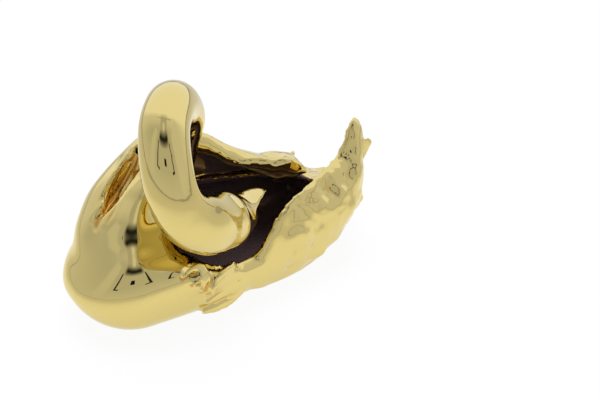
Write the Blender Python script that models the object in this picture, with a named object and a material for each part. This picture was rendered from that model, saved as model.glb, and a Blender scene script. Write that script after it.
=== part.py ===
"""Swan figurine: one hollow metal casting with a looped neck.

The breast points to -X, the tail to +X, the swan's left side to -Y.
The swan rests on Z = 0. Sizes below are millimetres.
"""
import math

import bmesh
import bpy
import numpy as np

MM = 0.001

# Body
BREAST_X = -52.0
BREAST_RADIUS = 33.0
BREAST_HEIGHT = 25.0
BELT_HEIGHT = 26.0
LEFT_WIDTH = 34.5
RIGHT_WIDTH = 38.5
TAIL_X = 99.0
WALL = 3.2
SOLE_CUT = 0.8

# Hollow inside
HOLLOW_REAR_X = 72.0
MOUTH_FRONT_X = -34.0
MOUTH_REAR_X = 71.0
MOUTH_FLOOR = 12.0
MOUTH_CEILING = 90.0

# Neck and head
NECK_ROOT_RADIUS = 28.5
NECK_RADIUS = 12.2
NECK_TOP = 115.5
HEAD_RADIUS = 15.6
BEAK_X = 27.0
BEAK_TIP_RADIUS = 1.6

# Wings
WING_SKIN = 3.6
WING_FOOT_SKIN = 5.0
RIGHT_CREST_HEIGHT = 83.0
LEFT_RIM_SKIN = 2.4
LEFT_FOOT_SKIN = 4.0
LEFT_TIP_HEIGHT = 77.3

# Feathers
FEATHER_SKIN = 2.0
LEAF_SKIN = 3.2
SECOND_TIP_X = 94.5
THIN_TIP_X = 102.5
LEAF_TIP_X = 103.0
LOBE_TIP_X = 101.5
CURL_TIP_X = 71.5

# Mesh density
CURVE_STEPS = 200
BODY_RINGS = 36
BODY_SIDES = 32
HOLLOW_RINGS = 24
HOLLOW_SIDES = 24
MOUTH_SIDES = 36
NECK_RINGS = 54
NECK_SIDES = 20
RIGHT_WING_RINGS = 36
LEFT_WING_RINGS = 38
WING_POINTS = 9
FEATHER_RINGS = 9
FEATHER_SIDES = 8


def clear_scene():
    for item in list(bpy.data.objects):
        bpy.data.objects.remove(item, do_unlink=True)


def smooth_curve(points, count):
    """Catmull-Rom curve through the points, read at count even steps of the point number."""
    knots = np.asarray(points, dtype=float)
    last = len(knots) - 1
    rows = []
    for step in np.linspace(0.0, last, count):
        i = min(int(step), last - 1)
        t = step - i
        before = knots[max(i - 1, 0)]
        start = knots[i]
        end = knots[i + 1]
        after = knots[min(i + 2, last)]
        tangent_in = 0.5 * (end - before)
        tangent_out = 0.5 * (after - start)
        rows.append(
            (2 * t**3 - 3 * t**2 + 1) * start
            + (t**3 - 2 * t**2 + t) * tangent_in
            + (3 * t**2 - 2 * t**3) * end
            + (t**3 - t**2) * tangent_out
        )
    return np.array(rows)


def unit(vector):
    vector = np.asarray(vector, dtype=float)
    return vector / np.linalg.norm(vector)


def closed_loft(name, rings):
    """Closed body through rings of one even point count. Rungs across each end ring fill it."""
    mesh = bpy.data.meshes.new(name)
    shape = bmesh.new()
    loops = [[shape.verts.new(point * MM) for point in ring] for ring in np.asarray(rings)]
    count = len(loops[0])
    for lower, upper in zip(loops, loops[1:]):
        for i in range(count):
            j = (i + 1) % count
            shape.faces.new((lower[i], lower[j], upper[j], upper[i]))
    for loop in (loops[0][::-1], loops[-1]):
        for i in range(count // 2 - 1):
            shape.faces.new((loop[i], loop[i + 1], loop[count - 2 - i], loop[count - 1 - i]))
    bmesh.ops.triangulate(shape, faces=shape.faces)
    if shape.calc_volume(signed=True) < 0.0:
        bmesh.ops.reverse_faces(shape, faces=shape.faces)
    shape.to_mesh(mesh)
    shape.free()
    piece = bpy.data.objects.new(name, mesh)
    bpy.context.collection.objects.link(piece)
    return piece


def combine(target, tool, operation):
    """Boolean step on the target. Its tool stays in the file as a hidden wire."""
    step = target.modifiers.new(tool.name, "BOOLEAN")
    step.operation = operation
    step.object = tool
    tool.hide_render = True
    tool.display_type = "WIRE"


# Body stations: x, left and right width, belt height left and right,
# depth below the belt left and right, height above it left and right
BODY_STATIONS = [
    (BREAST_X, BREAST_RADIUS + 1.0, BREAST_RADIUS, BELT_HEIGHT, BELT_HEIGHT, 26.0, 26.0,
     BREAST_HEIGHT, BREAST_HEIGHT),
    (-30.0, LEFT_WIDTH + 1.5, 36.0, BELT_HEIGHT, BELT_HEIGHT, 26.0, 26.0, 16.0, 27.0),
    (-10.0, LEFT_WIDTH + 1.0, 38.0, 24.0, 24.0, 24.0, 24.0, 7.0, 26.0),
    (10.0, LEFT_WIDTH, RIGHT_WIDTH, 22.0, 23.0, 22.0, 23.0, 9.0, 23.0),
    (30.0, 31.5, RIGHT_WIDTH, 21.0, 21.0, 21.0, 21.0, 14.0, 20.0),
    (50.0, 29.0, RIGHT_WIDTH, 22.0, 20.0, 20.0, 20.0, 14.0, 18.0),
    (66.0, 26.0, RIGHT_WIDTH, 28.0, 18.0, 12.0, 16.0, 9.0, 15.0),
    (84.0, 20.0, RIGHT_WIDTH + 1.0, 33.0, 15.0, 3.5, 7.0, 3.0, 7.0),
    (92.0, -4.0, RIGHT_WIDTH + 0.5, 24.0, 13.0, 3.0, 4.0, 2.5, 4.0),
    (TAIL_X, -16.0, 36.0, 14.0, 9.0, 1.2, 1.5, 1.2, 1.5),
]


def body_section(x, inset):
    """Widths, belt heights, depths and heights of the body at x, less a wall thickness."""
    rows = smooth_curve(BODY_STATIONS, CURVE_STEPS)
    values = np.array([np.interp(x, rows[:, 0], column) for column in rows.T[1:]])
    values[[0, 1, 4, 5, 6, 7]] -= inset
    return values


def body_rings(inset, rear, ring_count, side_count):
    """Rings from the breast to the tail. Ahead of BREAST_X the sections shrink as a ball does.

    Each ring is a superellipse about the belt line, boxier above the belt toward the tail.
    """
    first_angle = 0.06
    round_power = 2.0
    boxy_power = 3.6
    belly_power = 2.6
    boxy_length = 60.0
    radius = BREAST_RADIUS - inset
    nose_angles = np.linspace(first_angle, 0.5 * math.pi, ring_count // 4, endpoint=False)
    tail_xs = np.linspace(BREAST_X, rear, ring_count - len(nose_angles))
    xs = [BREAST_X - radius * math.cos(angle) for angle in nose_angles] + list(tail_xs)
    sizes = [math.sin(angle) for angle in nose_angles] + [1.0] * len(tail_xs)
    angles = np.linspace(0.0, 2.0 * math.pi, side_count, endpoint=False)
    rings = []
    for x, size in zip(xs, sizes):
        section = body_section(max(x, BREAST_X), inset)
        left, right = section[:2]
        centre = 0.5 * (right - left)
        half = 0.5 * (right + left)
        blend = np.clip((x - BREAST_X) / boxy_length, 0.0, 1.0)
        top_power = round_power + (boxy_power - round_power) * blend
        ring = []
        for angle in angles:
            across = math.cos(angle)
            up = math.sin(angle)
            power = 2.0 / (top_power if up > 0.0 else belly_power)
            y = half * math.copysign(abs(across) ** power, across)
            share = 0.5 + 0.5 * y / half
            belt, depth, height = section[2::2] + (section[3::2] - section[2::2]) * share
            reach = height * size**2.2 if up > 0.0 else (depth + SOLE_CUT) * size
            z = reach * math.copysign(abs(up) ** power, up)
            ring.append((x, centre + y * size, belt + z))
        rings.append(ring)
    return rings


def make_sole_cutter():
    """Block below Z = 0. It leaves the flat face that the swan rests on."""
    front = BREAST_X - BREAST_RADIUS
    side = 2.0 * RIGHT_WIDTH
    depth = 10.0 * SOLE_CUT
    rings = []
    for x in (front, TAIL_X):
        rings.append([(x, -side, -depth), (x, side, -depth), (x, side, 0.0), (x, -side, 0.0)])
    return closed_loft("sole_cutter", rings)


def make_mouth_cutter():
    """Mouth of the hollow back: one outline, narrower at its foot."""
    outline = smooth_curve([
        (MOUTH_FRONT_X, -20.0), (-22.0, -29.0), (-4.0, -30.0), (20.0, -28.5), (44.0, -23.0),
        (64.0, -12.0), (MOUTH_REAR_X, 2.0), (62.0, 16.0), (42.0, 24.0), (18.0, 31.0),
        (0.0, 31.0), (-5.0, 20.0), (-10.0, 4.0), (-24.0, -6.0), (MOUTH_FRONT_X, -20.0),
    ], MOUTH_SIDES + 1)[:-1]
    centre = np.array((0.5 * (MOUTH_FRONT_X + MOUTH_REAR_X), 0.0))
    levels = (
        (MOUTH_FLOOR, 0.86),
        (2.0 * MOUTH_FLOOR, 0.97),
        (3.0 * MOUTH_FLOOR, 1.0),
        (MOUTH_CEILING, 1.0),
    )
    rings = []
    for z, size in levels:
        rings.append([(*(centre + (point - centre) * size), z) for point in outline])
    return closed_loft("mouth_cutter", rings)


def swept_tube(name, path, radii, flatness, sides):
    """Tube along a path. Each ring stands square to the path, carried on without twist.

    Where the flatness is under 1 the ring is pressed that much toward the level plane.
    """
    path = np.asarray(path)
    tangents = np.gradient(path, axis=0)
    side = np.cross(tangents[0], (0.0, 0.0, 1.0))
    angles = np.linspace(0.0, 2.0 * math.pi, sides, endpoint=False)
    rings = []
    for point, tangent, radius, flat in zip(path, tangents, radii, flatness):
        tangent = unit(tangent)
        side = unit(side - tangent * np.dot(side, tangent))
        rise = np.cross(side, tangent)
        above = np.array((0.0, 0.0, 1.0)) - tangent * tangent[2]
        above /= max(np.linalg.norm(above), 0.001)
        ring = []
        for angle in angles:
            spoke = radius * (math.cos(angle) * side + math.sin(angle) * rise)
            ring.append(point + spoke - (1.0 - flat) * np.dot(spoke, above) * above)
        rings.append(ring)
    return closed_loft(name, rings)


def make_neck():
    """Neck from the breast up, over the loop and down to the beak."""
    # x, y, z, radius, height over width
    stops = [
        (-48.0, 3.0, 27.0, NECK_ROOT_RADIUS, 1.0),
        (-42.0, 7.0, 39.0, NECK_ROOT_RADIUS - 3.0, 1.0),
        (-33.0, 12.0, 52.0, 19.5, 1.0),
        (-21.5, 13.5, 66.0, 14.0, 1.0),
        (-16.5, 14.8, 82.0, 13.6, 1.0),
        (-15.0, 9.5, 97.0, NECK_RADIUS + 0.8, 1.0),
        (-21.0, 2.0, 109.5, NECK_RADIUS + 0.2, 1.0),
        (-30.0, -8.5, NECK_TOP, NECK_RADIUS - 0.3, 1.0),
        (-39.0, -19.5, NECK_TOP - 3.5, NECK_RADIUS - 0.3, 1.0),
        (-44.0, -30.0, 100.0, NECK_RADIUS, 1.0),
        (-43.8, -36.0, 86.0, NECK_RADIUS + 0.5, 1.0),
        (-37.5, -36.5, 73.5, 13.6, 1.0),
        (-27.0, -33.0, 63.0, 14.9, 1.0),
        (-16.0, -25.5, 54.8, HEAD_RADIUS, 1.0),
        (-6.0, -20.5, 50.5, HEAD_RADIUS - 0.6, 1.0),
        (2.5, -17.5, 49.5, 12.0, 0.95),
        (8.5, -14.5, 50.5, 9.0, 0.85),
        (14.5, -11.8, 51.8, 6.6, 0.65),
        (21.0, -9.4, 51.8, 4.4, 0.5),
        (BEAK_X, -7.2, 49.8, BEAK_TIP_RADIUS, 0.5),
    ]
    rows = smooth_curve(stops, NECK_RINGS)
    return swept_tube("neck_and_head", rows[:, :3], rows[:, 3], rows[:, 4], NECK_SIDES)


def plate_ring(foot, rim, bulge, inward, foot_skin, rim_skin):
    """Section of a curved plate from foot to rim.

    The bulge bows it as a parabola, and the skin is laid on the inward side.
    """
    foot = np.asarray(foot, dtype=float)
    span = np.asarray(rim, dtype=float) - foot
    bulge = np.asarray(bulge, dtype=float)
    inward = unit(inward)
    steps = np.linspace(0.0, 1.0, WING_POINTS)
    outer = [foot + span * t + bulge * 4.0 * t * (1.0 - t) for t in steps]
    inner = []
    for t, point in zip(steps, outer):
        inner.append(point + inward * (foot_skin + (rim_skin - foot_skin) * t))
    return outer + inner[::-1]


def make_right_wing():
    """Smooth cover on the right side. Its crest is high behind the neck and low at the rear."""
    # foot x y z, crest x y z, bulge x y z, share of the full skin
    stops = [
        (-76.5, 4.0, 37.5, -65.5, 7.0, 51.0, -2.0, 1.0, 1.5, 0.3),
        (-70.0, 21.0, 40.0, -56.5, 15.0, 61.0, -2.5, 2.5, 1.0, 0.8),
        (-54.0, 35.5, 43.0, -44.5, 20.0, 71.5, -2.5, 4.5, 2.5, 1.0),
        (-31.0, 39.0, 45.0, -31.0, 25.0, RIGHT_CREST_HEIGHT - 1.5, -0.5, 6.0, 3.0, 1.0),
        (-12.0, 40.0, 43.0, -15.5, 29.5, RIGHT_CREST_HEIGHT, 0.0, 7.0, 2.0, 1.0),
        (4.0, 39.5, 40.0, -1.0, 24.0, RIGHT_CREST_HEIGHT - 3.0, 0.5, 7.5, 2.5, 1.0),
        (16.0, 39.0, 38.0, 10.0, 21.5, 74.0, 1.0, 7.0, 2.5, 1.0),
        (26.0, 38.5, 36.0, 20.0, 19.0, 66.0, 1.5, 6.0, 3.0, 1.0),
        (36.0, 38.0, 34.0, 30.0, 15.5, 60.0, 1.5, 5.0, 4.0, 1.0),
        (45.0, 38.0, 31.0, 40.0, 11.5, 55.5, 2.0, 4.0, 5.0, 1.0),
        (54.0, 37.5, 28.0, 50.0, 7.5, 54.5, 2.0, 4.0, 6.0, 1.0),
        (62.0, 36.5, 25.0, 58.0, 6.0, 50.0, 2.0, 3.0, 6.0, 0.9),
        (69.0, 34.0, 22.0, 64.0, 8.0, 40.0, 1.0, 2.0, 4.0, 0.5),
    ]
    lean_middle_x = -15.0
    lean_length = 80.0
    rings = []
    for row in smooth_curve(stops, RIGHT_WING_RINGS):
        inward = (-(row[0] - lean_middle_x) / lean_length, -0.85, -0.4)
        rings.append(plate_ring(
            row[0:3], row[3:6], row[6:9], inward, WING_FOOT_SKIN * row[9], WING_SKIN * row[9]))
    return closed_loft("right_wing", rings)


def make_left_wing():
    """Thin plate on the left side that rises from the low rim to the upright tip."""
    # x, foot y z, rim y z, bulge y, share of the full skin
    stops = [
        (-6.0, -31.5, 17.0, -31.5, 26.0, -1.0, 0.5),
        (2.0, -32.0, 10.0, -31.5, 27.5, -2.0, 1.0),
        (9.0, -32.0, 7.5, -31.5, 32.5, -3.0, 1.0),
        (14.5, -31.5, 7.0, -31.0, 41.0, -3.5, 1.0),
        (20.0, -31.0, 6.5, -29.5, 47.0, -4.0, 1.0),
        (28.0, -30.0, 6.0, -28.0, 52.5, -5.5, 1.0),
        (38.0, -29.0, 6.5, -26.0, 56.0, -6.5, 1.0),
        (50.0, -27.5, 9.0, -21.5, 57.5, -8.0, 1.0),
        (60.0, -26.5, 15.0, -17.5, 59.0, -9.0, 1.0),
        (70.0, -25.0, 22.5, -13.5, 63.0, -8.5, 1.0),
        (77.0, -23.0, 28.0, -10.5, 71.5, -7.0, 1.0),
        (81.5, -21.0, 32.5, -9.0, LEFT_TIP_HEIGHT - 0.8, -5.0, 1.0),
        (84.0, -18.5, 40.0, -8.0, LEFT_TIP_HEIGHT, -3.5, 1.0),
        (86.5, -15.5, 50.0, -8.0, LEFT_TIP_HEIGHT - 1.8, -2.0, 0.9),
        (88.5, -12.0, 60.0, -8.5, LEFT_TIP_HEIGHT - 7.0, -1.0, 0.8),
    ]
    rings = []
    for x, foot_y, foot_z, rim_y, rim_z, bulge, share in smooth_curve(stops, LEFT_WING_RINGS):
        rings.append(plate_ring(
            (x, foot_y, foot_z), (x, rim_y, rim_z), (0.0, bulge, 0.0), (0.0, 1.0, 0.0),
            LEFT_FOOT_SKIN * share, LEFT_RIM_SKIN * share))
    return closed_loft("left_wing", rings)


def make_feather(name, path, widths, across, skin):
    """Flat tapering feather: an ellipse of half-height skin/2 carried along a path."""
    rows = smooth_curve(path, FEATHER_RINGS)
    half_widths = smooth_curve([(width,) for width in widths], FEATHER_RINGS)[:, 0]
    across = unit(across)
    tangents = np.gradient(rows, axis=0)
    angles = np.linspace(0.0, 2.0 * math.pi, FEATHER_SIDES, endpoint=False)
    rings = []
    for point, tangent, half in zip(rows, tangents, half_widths):
        normal = unit(np.cross(tangent, across))
        ring = []
        for angle in angles:
            flat = across * half * math.cos(angle)
            ring.append(point + flat + normal * 0.5 * skin * math.sin(angle))
        rings.append(ring)
    return closed_loft(name, rings)


def make_tail_feathers():
    """Five free feather tips behind the wings."""
    return [
        make_feather(
            "second_tip",
            [(SECOND_TIP_X - 11.5, -13.0, 50.0), (SECOND_TIP_X - 6.5, -11.0, 55.0),
             (SECOND_TIP_X - 2.5, -9.8, 58.5), (SECOND_TIP_X, -9.2, 60.8)],
            [6.0, 5.5, 4.4, 1.8], (0.6, 0.2, -0.7), FEATHER_SKIN),
        make_feather(
            "thin_tip",
            [(THIN_TIP_X - 26.5, 4.0, 25.0), (THIN_TIP_X - 14.5, 4.0, 25.5),
             (THIN_TIP_X - 6.5, 4.0, 26.5), (THIN_TIP_X, 4.0, 31.0)],
            [8.0, 5.0, 2.6, 1.0], (0.0, 1.0, 0.1), FEATHER_SKIN),
        make_feather(
            "leaf_tip",
            [(LEAF_TIP_X - 29.0, 27.0, 14.0), (LEAF_TIP_X - 17.0, 32.0, 10.0),
             (LEAF_TIP_X - 7.0, 36.5, 6.0), (LEAF_TIP_X, 39.0, 3.5)],
            [9.0, 8.0, 5.5, 1.2], (-0.3, 1.0, 0.1), LEAF_SKIN),
        make_feather(
            "lobe_tip",
            [(LOBE_TIP_X - 29.5, 25.5, 17.0), (LOBE_TIP_X - 17.5, 28.0, 16.5),
             (LOBE_TIP_X - 7.5, 30.0, 16.5), (LOBE_TIP_X, 31.0, 17.5)],
            [7.5, 7.0, 5.2, 1.4], (0.0, 0.3, 1.0), LEAF_SKIN),
        make_feather(
            "curl_tip",
            [(CURL_TIP_X - 15.5, 25.0, 27.0), (CURL_TIP_X - 8.5, 28.0, 30.5),
             (CURL_TIP_X - 3.0, 30.3, 34.5), (CURL_TIP_X, 31.0, 39.0)],
            [5.0, 4.5, 3.2, 1.4], (0.8, 0.2, -0.6), LEAF_SKIN),
    ]


def make_flank_feathers():
    """Three leaf-like feathers that lie on the left flank, ahead of the wing."""
    skin_y = -LEFT_WIDTH
    return [
        make_feather(
            "lower_leaf",
            [(0.0, skin_y + 1.0, 17.0), (-9.0, skin_y, 14.5), (-18.0, skin_y, 11.5),
             (-28.0, skin_y + 1.0, 9.0)],
            [2.5, 5.0, 4.5, 1.2], (0.15, 0.4, 1.0), LEAF_SKIN),
        make_feather(
            "middle_leaf",
            [(-1.0, skin_y + 0.5, 20.5), (-9.0, skin_y - 0.5, 20.0), (-18.0, skin_y - 1.0, 18.5),
             (-27.0, skin_y - 0.8, 16.0)],
            [3.0, 4.5, 3.5, 1.2], (-0.3, 0.1, 1.0), LEAF_SKIN),
        make_feather(
            "upper_leaf",
            [(-2.0, skin_y + 1.0, 23.5), (-11.0, skin_y, 25.5), (-21.0, skin_y - 1.0, 27.0),
             (-32.0, skin_y, 26.0)],
            [3.0, 5.0, 4.0, 1.2], (0.1, 0.1, 1.0), LEAF_SKIN),
    ]


def make_material():
    metal = bpy.data.materials.new("polished_gold_casting")
    metal.use_nodes = True
    shader = metal.node_tree.nodes["Principled BSDF"]
    shader.inputs["Base Color"].default_value = (0.80, 0.62, 0.24, 1.0)
    shader.inputs["Metallic"].default_value = 1.0
    shader.inputs["Roughness"].default_value = 0.08
    return metal


def stand_on_origin(swan):
    """Carry every object on one empty, so that the swan's box is centred over the origin."""
    bpy.context.view_layer.update()
    finished = swan.evaluated_get(bpy.context.evaluated_depsgraph_get())
    corners = np.array(finished.bound_box)
    middle = 0.5 * (corners.min(axis=0) + corners.max(axis=0))
    stand = bpy.data.objects.new("swan_frame", None)
    bpy.context.collection.objects.link(stand)
    for piece in bpy.data.objects:
        if piece is not stand:
            piece.parent = stand
    stand.location = (-middle[0], -middle[1], -corners.min(axis=0)[2])


def build():
    clear_scene()
    swan = closed_loft("swan_figurine", body_rings(0.0, TAIL_X, BODY_RINGS, BODY_SIDES))
    hollow = body_rings(WALL, HOLLOW_REAR_X, HOLLOW_RINGS, HOLLOW_SIDES)
    combine(swan, make_mouth_cutter(), "DIFFERENCE")
    combine(swan, make_neck(), "UNION")
    combine(swan, closed_loft("hollow_cutter", hollow), "DIFFERENCE")
    combine(swan, make_right_wing(), "UNION")
    combine(swan, make_left_wing(), "UNION")
    for feather in make_tail_feathers() + make_flank_feathers():
        combine(swan, feather, "UNION")
    combine(swan, make_sole_cutter(), "DIFFERENCE")
    swan.data.materials.append(make_material())
    swan.data.shade_smooth()
    stand_on_origin(swan)


build()
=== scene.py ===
"""Swan figurine in polished gold casting metal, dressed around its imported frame.

Lengths in the sections below are millimetres until a mesh or a lamp is made.
"""
import math

import bmesh
import bpy
import numpy as np
from mathutils import Matrix, Vector


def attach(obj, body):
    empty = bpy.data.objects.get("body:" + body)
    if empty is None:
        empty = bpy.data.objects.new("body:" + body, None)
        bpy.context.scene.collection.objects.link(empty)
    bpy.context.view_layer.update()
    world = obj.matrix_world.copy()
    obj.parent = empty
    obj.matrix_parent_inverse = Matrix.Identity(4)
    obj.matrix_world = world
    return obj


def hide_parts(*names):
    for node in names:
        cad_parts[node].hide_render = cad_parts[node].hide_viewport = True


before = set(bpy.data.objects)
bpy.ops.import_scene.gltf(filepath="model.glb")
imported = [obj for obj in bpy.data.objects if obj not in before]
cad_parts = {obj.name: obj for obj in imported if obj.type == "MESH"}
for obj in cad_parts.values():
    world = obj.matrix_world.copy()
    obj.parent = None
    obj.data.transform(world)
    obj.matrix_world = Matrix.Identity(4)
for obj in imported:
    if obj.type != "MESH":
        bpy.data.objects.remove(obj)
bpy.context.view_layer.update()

MM = 0.001
# The casting is drawn about its own middle line; the frame stands it on the middle of its box
MIDDLE = np.array((9.336, -3.726, 0.0))


# Camera
# A long lens in front of the breast and left of it, looking down on the open back from
# about half a metre, angles in radians and the distance in millimetres
VIEW_POINT = np.array((0.0, 0.0, 50.0)) - MIDDLE
VIEW_AZIMUTH = math.radians(-31.16)
VIEW_ELEVATION = math.radians(34.07)
VIEW_DISTANCE = 565.5
VIEW_LENS = 64.94
# The swan stands left of the middle of the picture
AIM_RIGHT = math.radians(4.49)
AIM_DOWN = math.radians(0.12)

away = Vector((
    math.sin(VIEW_AZIMUTH) * math.cos(VIEW_ELEVATION),
    -math.cos(VIEW_AZIMUTH) * math.cos(VIEW_ELEVATION),
    math.sin(VIEW_ELEVATION),
))
camera = bpy.data.objects.new("camera", bpy.data.cameras.new("camera"))
bpy.context.collection.objects.link(camera)
turn = away.to_track_quat("Z", "Y").to_matrix()
turn = turn @ Matrix.Rotation(-AIM_RIGHT, 3, "Y") @ Matrix.Rotation(-AIM_DOWN, 3, "X")
camera.matrix_world = Matrix.Translation(
    (Vector(VIEW_POINT) + away * VIEW_DISTANCE) * MM) @ turn.to_4x4()
camera.data.lens = VIEW_LENS
camera.data.sensor_width = 36.0
camera.data.clip_start = 0.02
bpy.context.scene.camera = camera
bpy.context.scene.view_settings.view_transform = "Standard"


def add_node(tree, kind, settings=None, inputs=None):
    """Add one node, give it its settings, and link or set its inputs by name or number."""
    node = tree.nodes.new(kind)
    for name, value in (settings or {}).items():
        setattr(node, name, value)
    for name, value in (inputs or {}).items():
        if isinstance(value, bpy.types.NodeSocket):
            tree.links.new(value, node.inputs[name])
        else:
            node.inputs[name].default_value = value
    return node


def linear(hex_colour):
    """Linear RGBA of an sRGB hex colour."""
    parts = [int(hex_colour[i:i + 2], 16) / 255.0 for i in (1, 3, 5)]
    parts = [p / 12.92 if p <= 0.04045 else ((p + 0.055) / 1.055) ** 2.4 for p in parts]
    return (*parts, 1.0)


# Studio
# A white table under a cloth tent. The half behind the swan is lit white, the half in front
# of it is grey, and a mirror finish shows the opening there with its dark edges
TENT_FRONT = Vector((math.sin(VIEW_AZIMUTH), -math.cos(VIEW_AZIMUTH), 0.0))
TENT_SIDE = Vector((math.cos(VIEW_AZIMUTH), math.sin(VIEW_AZIMUTH), 0.0))
# Square to the sloping seam between the grey half and the white half
TENT_SEAM = TENT_FRONT - 0.15 * TENT_SIDE - Vector((0.0, 0.0, 0.58))
SEAM_SHIFT = 0.55
FRONT_CLOTH_LOW = 0.70
FRONT_CLOTH_HIGH = 0.58
SEAM_CLOTH = 0.80
BACK_CLOTH = 1.06
STRIP_CLOTH = 0.54
STRIP_MIDDLE = 0.82
SEAM_LINE = 0.42
UNDER_TABLE = 0.45
# Daylight cloth, a little blue: the strengths of the three primaries
CLOTH_TINT = (0.98, 1.0, 1.13, 1.0)

world = bpy.data.worlds.new("cloth_tent")
bpy.context.scene.world = world
world.use_nodes = True
sky = world.node_tree
sky.nodes.clear()
direction = add_node(sky, "ShaderNodeTexCoord").outputs["Generated"]
height = add_node(sky, "ShaderNodeSeparateXYZ", inputs={0: direction}).outputs["Z"]
toward, beside, behind = [
    add_node(sky, "ShaderNodeVectorMath", {"operation": "DOT_PRODUCT"}, {
        0: direction, 1: axis}).outputs["Value"]
    for axis in (TENT_FRONT, TENT_SIDE, TENT_SEAM)]
behind = add_node(sky, "ShaderNodeMath", {"operation": "ADD"}, {
    0: behind, 1: SEAM_SHIFT}).outputs[0]
bearing = add_node(sky, "ShaderNodeMath", {"operation": "ARCTAN2"}, {
    0: beside, 1: toward}).outputs[0]
bearing = add_node(sky, "ShaderNodeMath", {"operation": "MULTIPLY"}, {
    0: bearing, 1: 180.0 / math.pi}).outputs[0]
off_middle = add_node(sky, "ShaderNodeMath", {"operation": "ABSOLUTE"}, {0: beside}).outputs[0]


def fade(source, full, none, low=1.0, high=0.0):
    """Smooth step of the source: low at full and beyond it, high at none."""
    return add_node(sky, "ShaderNodeMapRange", {"interpolation_type": "SMOOTHSTEP"}, {
        0: source, 1: full, 2: none, 3: low, 4: high}).outputs[0]


def hang(light, value, *amounts):
    """Mix a grey value into the light by the product of the amounts."""
    share = amounts[0]
    for amount in amounts[1:]:
        share = add_node(sky, "ShaderNodeMath", {"operation": "MULTIPLY"}, {
            0: share, 1: amount}).outputs[0]
    return add_node(sky, "ShaderNodeMix", inputs={0: share, 2: light, 3: value}).outputs[0]


light = fade(height, 0.0, 0.7, FRONT_CLOTH_LOW, FRONT_CLOTH_HIGH)
light = hang(light, SEAM_CLOTH, fade(behind, 0.0, 0.4))
# A strip runs from the opening up to the seam, with a bright middle
light = hang(light, STRIP_CLOTH, fade(off_middle, 0.2, 0.23), fade(height, 0.9, 0.8))
light = hang(
    light, STRIP_MIDDLE, fade(off_middle, 0.02, 0.09), fade(toward, 0.2, 0.12),
    fade(height, 0.95, 0.9))
light = hang(light, BACK_CLOTH, fade(behind, -0.14, 0.01))
seam = add_node(sky, "ShaderNodeMath", {"operation": "ABSOLUTE"}, {0: behind}).outputs[0]
light = hang(
    light, SEAM_LINE, fade(seam, 0.003, 0.014), fade(off_middle, 0.4, 0.5),
    fade(height, 0.7, 0.6))
# Bearing from the opening, half its width, lowest and highest height, grey value, soft edge
for middle, reach, low, high, value, soft in (
    (0.0, 37.0, 0.44, 0.82, 0.60, 1.0),
    (-38.0, 2.0, 0.42, 0.80, 0.02, 0.5),
    (38.0, 2.0, 0.42, 0.80, 0.02, 0.5),
    (-34.0, 5.0, 0.42, 0.46, 0.03, 1.0),
    (34.0, 5.0, 0.42, 0.46, 0.03, 1.0),
    (0.0, 5.0, 0.57, 0.68, 0.01, 1.0),
    (0.0, 34.0, 0.81, 0.91, 0.02, 14.0),
    (-62.0, 10.0, 0.12, 0.85, 0.70, 9.0),
    (75.0, 20.0, 0.05, 0.8, 0.74, 12.0),
):
    across = add_node(sky, "ShaderNodeMath", {"operation": "SUBTRACT"}, {
        0: bearing, 1: middle}).outputs[0]
    across = add_node(sky, "ShaderNodeMath", {"operation": "ABSOLUTE"}, {0: across}).outputs[0]
    rise = add_node(sky, "ShaderNodeMath", {"operation": "SUBTRACT"}, {
        0: height, 1: 0.5 * (low + high)}).outputs[0]
    rise = add_node(sky, "ShaderNodeMath", {"operation": "ABSOLUTE"}, {0: rise}).outputs[0]
    half = 0.5 * (high - low)
    light = hang(
        light, value, fade(across, reach - 0.5 * soft, reach + 0.5 * soft),
        fade(rise, half - soft / 300.0, half + soft / 300.0))
light = hang(light, UNDER_TABLE, fade(height, -0.004, 0.0))
tinted = add_node(sky, "ShaderNodeMix", {"data_type": "RGBA", "blend_type": "MULTIPLY"}, {
    0: 1.0, 6: light, 7: CLOTH_TINT}).outputs[2]
rays = add_node(sky, "ShaderNodeLightPath").outputs
seen = add_node(sky, "ShaderNodeMix", {"data_type": "RGBA"}, {
    0: rays["Is Camera Ray"], 6: tinted, 7: (1.0, 1.0, 1.0, 1.0)}).outputs[2]
tent = add_node(sky, "ShaderNodeBackground", inputs={"Color": seen, "Strength": 1.0})
add_node(sky, "ShaderNodeOutputWorld", inputs={"Surface": tent.outputs[0]})

TABLE_HALF = 1500.0
TABLE_SEEN = 0.93
TABLE_MIRRORED = 0.8
TABLE_TOP = -0.0002
# The painted pool of light around the swan, glowing on the table for reflected rays, in metres, and
# what is left of it beyond
SPOT_FULL = 0.09
SPOT_END = 0.30
SPOT_LEFT = 0.66
table_mesh = bpy.data.meshes.new("table")
table_mesh.from_pydata(
    [(x * MM, y * MM, TABLE_TOP) for x, y in (
        (-TABLE_HALF, -TABLE_HALF), (TABLE_HALF, -TABLE_HALF),
        (TABLE_HALF, TABLE_HALF), (-TABLE_HALF, TABLE_HALF))],
    [], [(0, 1, 2, 3)])
table = bpy.data.objects.new("table", table_mesh)
bpy.context.collection.objects.link(table)
card = bpy.data.materials.new("white_card")
card.use_nodes = True
card_tree = card.node_tree
card_shader = card_tree.nodes["Principled BSDF"]
card_shader.inputs["Base Color"].default_value = linear("#f4f4f4")
card_shader.inputs["Roughness"].default_value = 0.9
card_shader.inputs["Specular IOR Level"].default_value = 0.1
rays = add_node(card_tree, "ShaderNodeLightPath").outputs
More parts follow.
